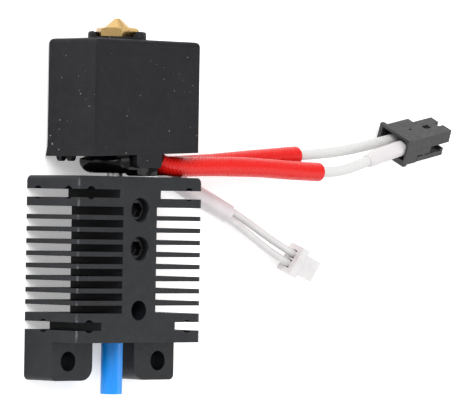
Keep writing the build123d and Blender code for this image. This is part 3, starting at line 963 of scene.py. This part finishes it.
def build_tube():
    """Feed tube with a clean cut end, drawn slightly uneven along its length."""
    low, high = TUBE_LOW, TUBE_SEAT
    profile = [(low, BORE_R), (low, 1.92), (low + 0.06, 1.99)]
    count = 30
    for k in range(1, count):
        y = low + 0.3 + (high - low - 0.6) * k / count
        profile.append((y, 1.985 + 0.012 * math.sin(k * 1.7)))
    profile += [(high - 0.06, 1.99), (high, 1.92), (high, BORE_R), (low, BORE_R)]
    obj = lathe("ptfe_tube_skin", profile, (0, AXIS_Z), along_y, 64)
    return settle(obj, MATERIALS["blue_ptfe"], "blue_ptfe", "feed_tube", "ptfe_tube")


def nozzle_head():
    """Hexagon with turned corners, cone and flat tip with its orifice."""
    head = hexagon_prism("nozzle_turned", HEX_FLATS, HEX_START, HEX_END, (0, AXIS_Z), along_y)
    turned = [(HEX_START - 1, 3.3), (HEX_START, 3.62), (HEX_START + 0.4, 4.1),
              (HEX_END - 0.42, 4.1), (HEX_END, 3.62), (HEX_END + 1, 3.0)]
    carve(head, lathe("corners", turned, (0, AXIS_Z), along_y, 64), operation="INTERSECT")
    base = HEX_END - 0.4
    cone = [(base, 1.8), (base, 2.6), (HEX_END + 0.02, 2.45), (TIP - 0.08, 0.56), (TIP, TIP_R),
            (TIP, ORIFICE_R), (TIP - 0.6, ORIFICE_R), (TIP - 0.9, 0.6)]
    join_on(head, lathe("cone", cone, (0, AXIS_Z), along_y, 64))
    return head


def nozzle_shank():
    """Threaded shank with the filament bore, up into the hexagon."""
    high = HEX_START + 0.5
    profile = [(SHANK_START, BORE_R), (SHANK_START, 2.6)]
    profile += thread_profile(SHANK_START + 0.4, 7, 0.95, 0.45, 2.95, 2.55)
    profile += [(HEX_START - 0.2, 2.5), (high, 2.5), (high, BORE_R), (SHANK_START, BORE_R)]
    return lathe("nozzle_shank", profile, (0, AXIS_Z), along_y, 56)


def build_nozzle():
    head = nozzle_head()
    shank = nozzle_shank()
    soften(head, 0.05, 2, 30)
    settle(head, MATERIALS["brass"], "brass", "nozzle", "nozzle", smooth_angle=28)
    settle(shank, MATERIALS["brass"], "brass", "nozzle")


def build_collar():
    """Glossy collar round the neck, flat where the sock's tab hangs, with a lobe beside it."""
    y0, y1 = COLLAR_Y
    arc = [math.pi / 2 * k / 8 for k in range(9)]
    lower = [(y0 + 2.2 - 2.2 * math.cos(a), 3.8 + 2.2 * math.sin(a)) for a in arc]
    profile = [(y0, COLLAR_BORE_R), *lower, (y0 + 2.6, 5.95), (y0 + 2.8, 5.2), (y1, 5.1),
               (y1, COLLAR_BORE_R), (y0, COLLAR_BORE_R)]
    collar = lathe("neck_collar_moulded", profile, (0, AXIS_Z), along_y, 72)
    for point in collar.data.vertices:
        if point.co.x < -0.01 and math.hypot(point.co.x, point.co.z - AXIS_Z) > 3:
            point.co.x -= COLLAR_STRETCH
    lobe = slabs("lobe", [COLLAR_LOBE])
    soften(lobe, 0.8, 4, 40)
    join_on(collar, lobe)
    carve(collar, slabs("flat", [((-8, 8), (y0 - 1, y1 + 1), (COLLAR_FLAT_Z, 16))]))
    soften(collar, 0.15, 2, 50)
    return settle(collar, MATERIALS["collar_silicone"], "collar_silicone", "hotend", "neck_collar")


build_heatbreak()
build_tube()
build_nozzle()
build_collar()
for which, distance in zip(("upper", "lower"), SCREWS_BELOW):
    build_set_screw(which + "_set_screw", "heatbreak_screw_" + which, which + "_screw", SCREW_R,
                    SCREW_TIP, SCREW_TIP + SCREW_LENGTH, (0, FACE - distance), along_z)
build_set_screw("cartridge_set_screw", "cartridge_grub_screw", "cartridge_screw",
                CARTRIDGE_SCREW_R, *CARTRIDGE_SCREW_X, CARTRIDGE_SCREW_AT, along_x)


# ------------ heater block and sock

BLOCK_X = (-9.2, 13.5)
BLOCK_Z = (1.65, 12.35)
HEATER_AT = (7.4, 7.4)
SENSOR_AT = (11.2, 3.6)


def build_block():
    """Milled block with its bores and lightly broken edges."""
    mouth, end = BLOCK_Y[0] - 1, BLOCK_Y[1] + 1
    block = slabs("heater_block_milled", [(BLOCK_X, BLOCK_Y, BLOCK_Z)])
    carve(block, rods("path", THREAD_R, [(0, AXIS_Z)], mouth, end, along_y))
    carve(block, rods("heater_bore", 3.05, [HEATER_AT], mouth, BLOCK_Y[0] + 16.3, along_y))
    carve(block, rods("sensor_bore", 1.55, [SENSOR_AT], mouth, BLOCK_Y[0] + 10.3, along_y))
    carve(block, rods("screw_bore", 1.5, [CARTRIDGE_SCREW_AT], 10.2, 15, along_x))
    soften(block, 0.15, 2, 50)
    return settle(block, MATERIALS["block_aluminium"], "block_aluminium", "hotend", "heater_block")


SOCK_X = (-10.8, 14.75)
SOCK_Z = (0.3, 13.65)
SOCK_TOP = FACE + 24.8
TOP_ROUND = 0.95
SOCK_CORNER_R = 0.5
RIM_LEFT = FACE + 3.46
RIM_RIGHT = FACE + 4.64
LIP_FLARE = [(0, 0.4), (3.4, 0.4), (3.9, 0.34), (4.4, 0.2), (5.2, 0.06), (6.5, 0.0)]
RING_R = 5.3
RING_TOP = FACE + 26.3
RING_ROUND = 0.4
RING_HOLE_R = 4.3
DIP_TURN = math.radians(44)
TAB_X = (-0.7, 5.5)
TAB_Y = (FACE + 1.6, FACE + 5.5)
NIB_R = 0.78
NIB_Z = (3.35, 6.0)
CAVITY_X = (-9.3, 13.6)
CAVITY_Z = (1.55, 12.45)


def sock_ring(height, inset, flare=0.0):
    """Outline of the sock at a height, drawn in all round and flared at its left."""
    x = (SOCK_X[0] + inset - flare, SOCK_X[1] - inset)
    z = (SOCK_Z[0] + inset, SOCK_Z[1] - inset)
    corner = max(SOCK_CORNER_R - inset, 0.06)
    return [along_y(a, b, height) for a, b in rounded(x, z, (corner,) * 4, 6)]


def sock_shell():
    """Outer skin of the sock, with a rounded top edge and a lip at the left of its mouth."""
    rings = [sock_ring(FACE + above, 0, flare) for above, flare in LIP_FLARE]
    round_steps = 7
    for k in range(round_steps):
        turn = math.pi / 2 * k / (round_steps - 1)
        drop = TOP_ROUND * (1 - math.sin(turn))
        rings.append(sock_ring(SOCK_TOP - drop, TOP_ROUND * (1 - math.cos(turn))))
    return grid_shell("silicone_sock_moulded", rings)


def toward_front_left(a, b, h):
    """Runs h from the filament axis to the front left corner, with a across it and b along Y."""
    turn = DIP_TURN
    return (a * math.cos(turn) - h * math.sin(turn), b, AXIS_Z + a * math.sin(turn) + h * math.cos(turn))


def nozzle_ring():
    """Raised ring round the nozzle, rounded at its top and sunk at the front left."""
    arc = [math.pi / 2 * k / 6 for k in range(7)]
    height, radius = RING_TOP - RING_ROUND, RING_R - RING_ROUND
    rounding = [(height + RING_ROUND * math.sin(a), radius + RING_ROUND * math.cos(a)) for a in arc]
    ring = lathe("ring", [(SOCK_TOP - 0.8, RING_R), *rounding], (0, AXIS_Z), along_y, 64)
    over = RING_TOP + 0.3
    dip = [(-3.5, FACE + 25.35), (3.0, FACE + 25.25), (3.9, over), (-4.4, over)]
    return carve(ring, prism("dip", dip, 0.5, 8, toward_front_left))


def build_sock():
    """Moulded cup with a slanted rim, a ring round the nozzle, a tab and two nibs."""
    sock = sock_shell()
    left, right = SOCK_X[0] - 1, SOCK_X[1] + 1
    rim = [(left, FACE - 1), (right, FACE - 1), (right, RIM_RIGHT), (left, RIM_LEFT)]
    carve(sock, prism("rim", rim, -1, 15))
    tab = rounded(TAB_X, TAB_Y, (0.9, 0.9, 0, 0))
    join_on(sock, prism("tab", tab, CAVITY_Z[1], SOCK_Z[1] - 0.02))
    join_on(sock, nozzle_ring())
    nibs = [(FACE + 3.4, z) for z in NIB_Z]
    join_on(sock, rods("nibs", NIB_R, nibs, -10.35, CAVITY_X[0], along_x, 24))
    hollow = rounded(CAVITY_X, CAVITY_Z, (0.2,) * 4, 2)
    carve(sock, prism("hollow", hollow, FACE + 0.5, BLOCK_Y[1] + 0.1, along_y))
    carve(sock, rods("opening", RING_HOLE_R, [(0, AXIS_Z)], FACE + 23, FACE + 27, along_y, 64))
    weld(sock)
    soften(sock, 0.12, 2, 60)
    return settle(sock, MATERIALS["sock_silicone"], "sock_silicone", "sock", "silicone_sock")


build_block()
build_sock()


# ------------ plugs

def plug_matrix(at, heading, roll):
    """Frame of a plug in millimetres: X forward along its axis, Z out of its top."""
    turn, lean = math.radians(heading), math.radians(roll)
    forward = Vector((math.cos(turn), math.sin(turn), 0))
    up = Vector((-math.sin(turn) * math.sin(lean), math.cos(turn) * math.sin(lean), math.cos(lean)))
    side = up.cross(forward)
    matrix = Matrix((forward, side, up)).transposed().to_4x4()
    return Matrix.Translation((at[0], FACE + at[1], at[2])) @ matrix


HEATER_PLUG = plug_matrix((73.8, 7.4, 4.9), 11.95, 62.5)
SENSOR_PLUG = plug_matrix((48.9, -14.55, 2.95), -22.1, -18.0)
HEATER_WAYS = (-1.9, 1.6)       # wire holes, across the heater plug
TOWER_WAYS = (-2.6, 0.9)        # contacts, across its towers
TOWER_MIDDLE = 1.25             # their height above the plug's axis
SENSOR_WAYS = (-1.0, 1.0)


def build_heater_plug():
    """Rear flange, body, two contact towers with a notch between, and the latch pocket."""
    plug = slabs("heater_plug_shell", [((0, 0.9), (-4, 4), (-2.85, 2.85))])
    join_on(plug, slabs("body", [((0.8, 7.1), (-3.9, 3.3), (-2.6, 2.6))]))
    join_on(plug, slabs("towers", [((7.0, 12.2), (-3.8, 1.9), (0, 2.6))]))
    carve(plug, slabs("notch", [((10.9, 13), (-1.43, -0.16), (-3, 3))]))
    carve(plug, slabs("window", [((7.4, 9.0), (-1.3, -0.1), (2.15, 4))]))
    carve(plug, slabs("recess", [((-1, 2.2), (-3.6, 3.2), (-1.7, 2.3))]))
    carve(plug, rods("ways", 1.15, [(y, 0.1) for y in HEATER_WAYS], 1.7, 5.6, along_x, 28))
    carve(plug, slabs("contacts", [((5.0, 13), (y - 0.85, y + 0.85), (0.4, 2.1)) for y in TOWER_WAYS]))
    carve(plug, slabs("pocket", [((3.6, 8), (-5, 1.7), (-4, -1.2))]))
    carve(plug, rods("ejector_mark", 0.28, [(4.2, -0.2)], 2.35, 3, sides=16))
    soften(plug, 0.1, 2, 50)
    return settle(plug, MATERIALS["black_plug"], "black_plug", "hotend", "heater_plug_housing",
                  place=HEATER_PLUG)


def build_latch():
    """Latch arm with finger ridges at its rear and a hook at its front."""
    outline = [(3.8, -2.6), (11.0, -2.6), (11.0, -1.0), (10.6, -1.0), (10.1, -1.5), (5.9, -1.5),
               (5.9, -1.26), (5.3, -1.26), (5.3, -1.5), (3.8, -1.5)]
    latch = prism("heater_plug_latch_arm", outline, -3.8, 1.5, along_y)
    ridges = [((x - 0.12, x + 0.12), (-3.4, 1.1), (-3.0, -2.48)) for x in (4.2, 4.7, 5.2)]
    carve(latch, slabs("ridges", ridges))
    soften(latch, 0.07, 2, 40)
    return settle(latch, MATERIALS["black_plug"], "black_plug", "plug_latch", "heater_plug_latch",
                  place=HEATER_PLUG)


def build_contacts(name, node, ways, start, end, half, place):
    """Box contacts open at the front, with a split along the top."""
    contacts = slabs(name, [((start, end), (y - half, y + half), (-half, half)) for y in ways])
    inside = half - 0.16
    carve(contacts, slabs("inside", [((start + 1, end + 1), (y - inside, y + inside), (-inside, inside))
                                     for y in ways]))
    carve(contacts, slabs("split", [((start + 2, end + 1), (y - 0.06, y + 0.06), (0, half + 1))
                                    for y in ways]))
    soften(contacts, 0.04, 1, 50)
    return settle(contacts, MATERIALS["tinned_contact"], "tinned_contact", "hotend", node, place=place)


def build_sensor_plug():
    """Wide rear step with the crimps showing, and a narrower nose with two openings."""
    plug = slabs("thermistor_plug_shell", [((0, 1.9), (-2.9, 2.9), (-2.1, 2.1))])
    join_on(plug, slabs("nose", [((1.8, 5.9), (-2.05, 2.05), (-1.8, 1.8))]))
    carve(plug, slabs("ways", [((-1, 8), (y - 0.8, y + 0.8), (-0.8, 0.8)) for y in SENSOR_WAYS]))
    soften(plug, 0.14, 2, 50)
    return settle(plug, MATERIALS["white_plug"], "white_plug", "hotend", "thermistor_plug_housing",
                  place=SENSOR_PLUG)


heater_shell = build_heater_plug()
heater_latch = build_latch()
tower_place = HEATER_PLUG @ Matrix.Translation((0, 0, TOWER_MIDDLE))
heater_contacts = build_contacts("heater_contacts", "heater_terminals", TOWER_WAYS,
                                 5.2, 11.7, 0.75, tower_place)
sensor_shell = build_sensor_plug()
sensor_contacts = build_contacts("thermistor_contacts", "thermistor_terminals", SENSOR_WAYS,
                                 0.2, 5.3, 0.6, SENSOR_PLUG)


# ------------ carried-over CAD nodes

def paint_frame(*nodes):
    """CAD nodes that stay as they are get the material of their record slot."""
    slots = {part["node"]: part["material_slot"] for part in frame["record"]["subparts"]}
    for node in nodes:
        obj = frame["nodes"][node]
        obj.data.materials.clear()
        obj.data.materials.append(MATERIALS[slots[node]])


paint_frame("heater_cartridge", "cartridge_plug", "thermistor", "thermistor_cement")


# ------------ floor and light

WORLD_STRENGTH = 0.72
FLOOR_GREY = (0.93, 0.93, 0.93)
FLOOR_GLOW = 0.35
LIGHTS = [("key", (-0.35, 0.35, 0.5), 0.5, 3.6), ("fill", (0.45, -0.2, 0.45), 0.6, 1.8)]


def add_floor():
    """Pale floor just under the object, which shines a little so that it stays white."""
    bm = bmesh.new()
    bmesh.ops.create_grid(bm, x_segments=1, y_segments=1, size=3.0)
    floor = link_mesh("floor", bm)
    floor.location.z = -0.00005
    material, tree, shader = new_material("floor", FLOOR_GREY, 0.9, 0.0, 0.1)
    grain = noise_field(tree, coordinates(tree), 0.02)
    tint(tree, shader, FLOOR_GREY, 0.01, grain)
    shader.inputs["Emission Color"].default_value = (1, 1, 1, 1)
    shader.inputs["Emission Strength"].default_value = FLOOR_GLOW
    floor.data.materials.append(material)


def add_light(name, place, target, size, power):
    data = bpy.data.lights.new(name, "AREA")
    data.shape = "DISK"
    data.size = size
    data.energy = power
    light = link_object(name, data)
    light.location = place
    light.rotation_euler = (Vector(target) - Vector(place)).to_track_quat("-Z", "Y").to_euler()


def add_world(strength):
    world = bpy.data.worlds.new("studio")
    world.use_nodes = True
    world.node_tree.nodes["Background"].inputs["Color"].default_value = (1, 1, 1, 1)
    world.node_tree.nodes["Background"].inputs["Strength"].default_value = strength
    bpy.context.scene.world = world


bpy.context.scene.view_settings.view_transform = "Standard"
add_floor()
add_world(WORLD_STRENGTH)
for light_name, light_place, light_size, light_power in LIGHTS:
    add_light(light_name, light_place, MIDDLE, light_size, light_power)
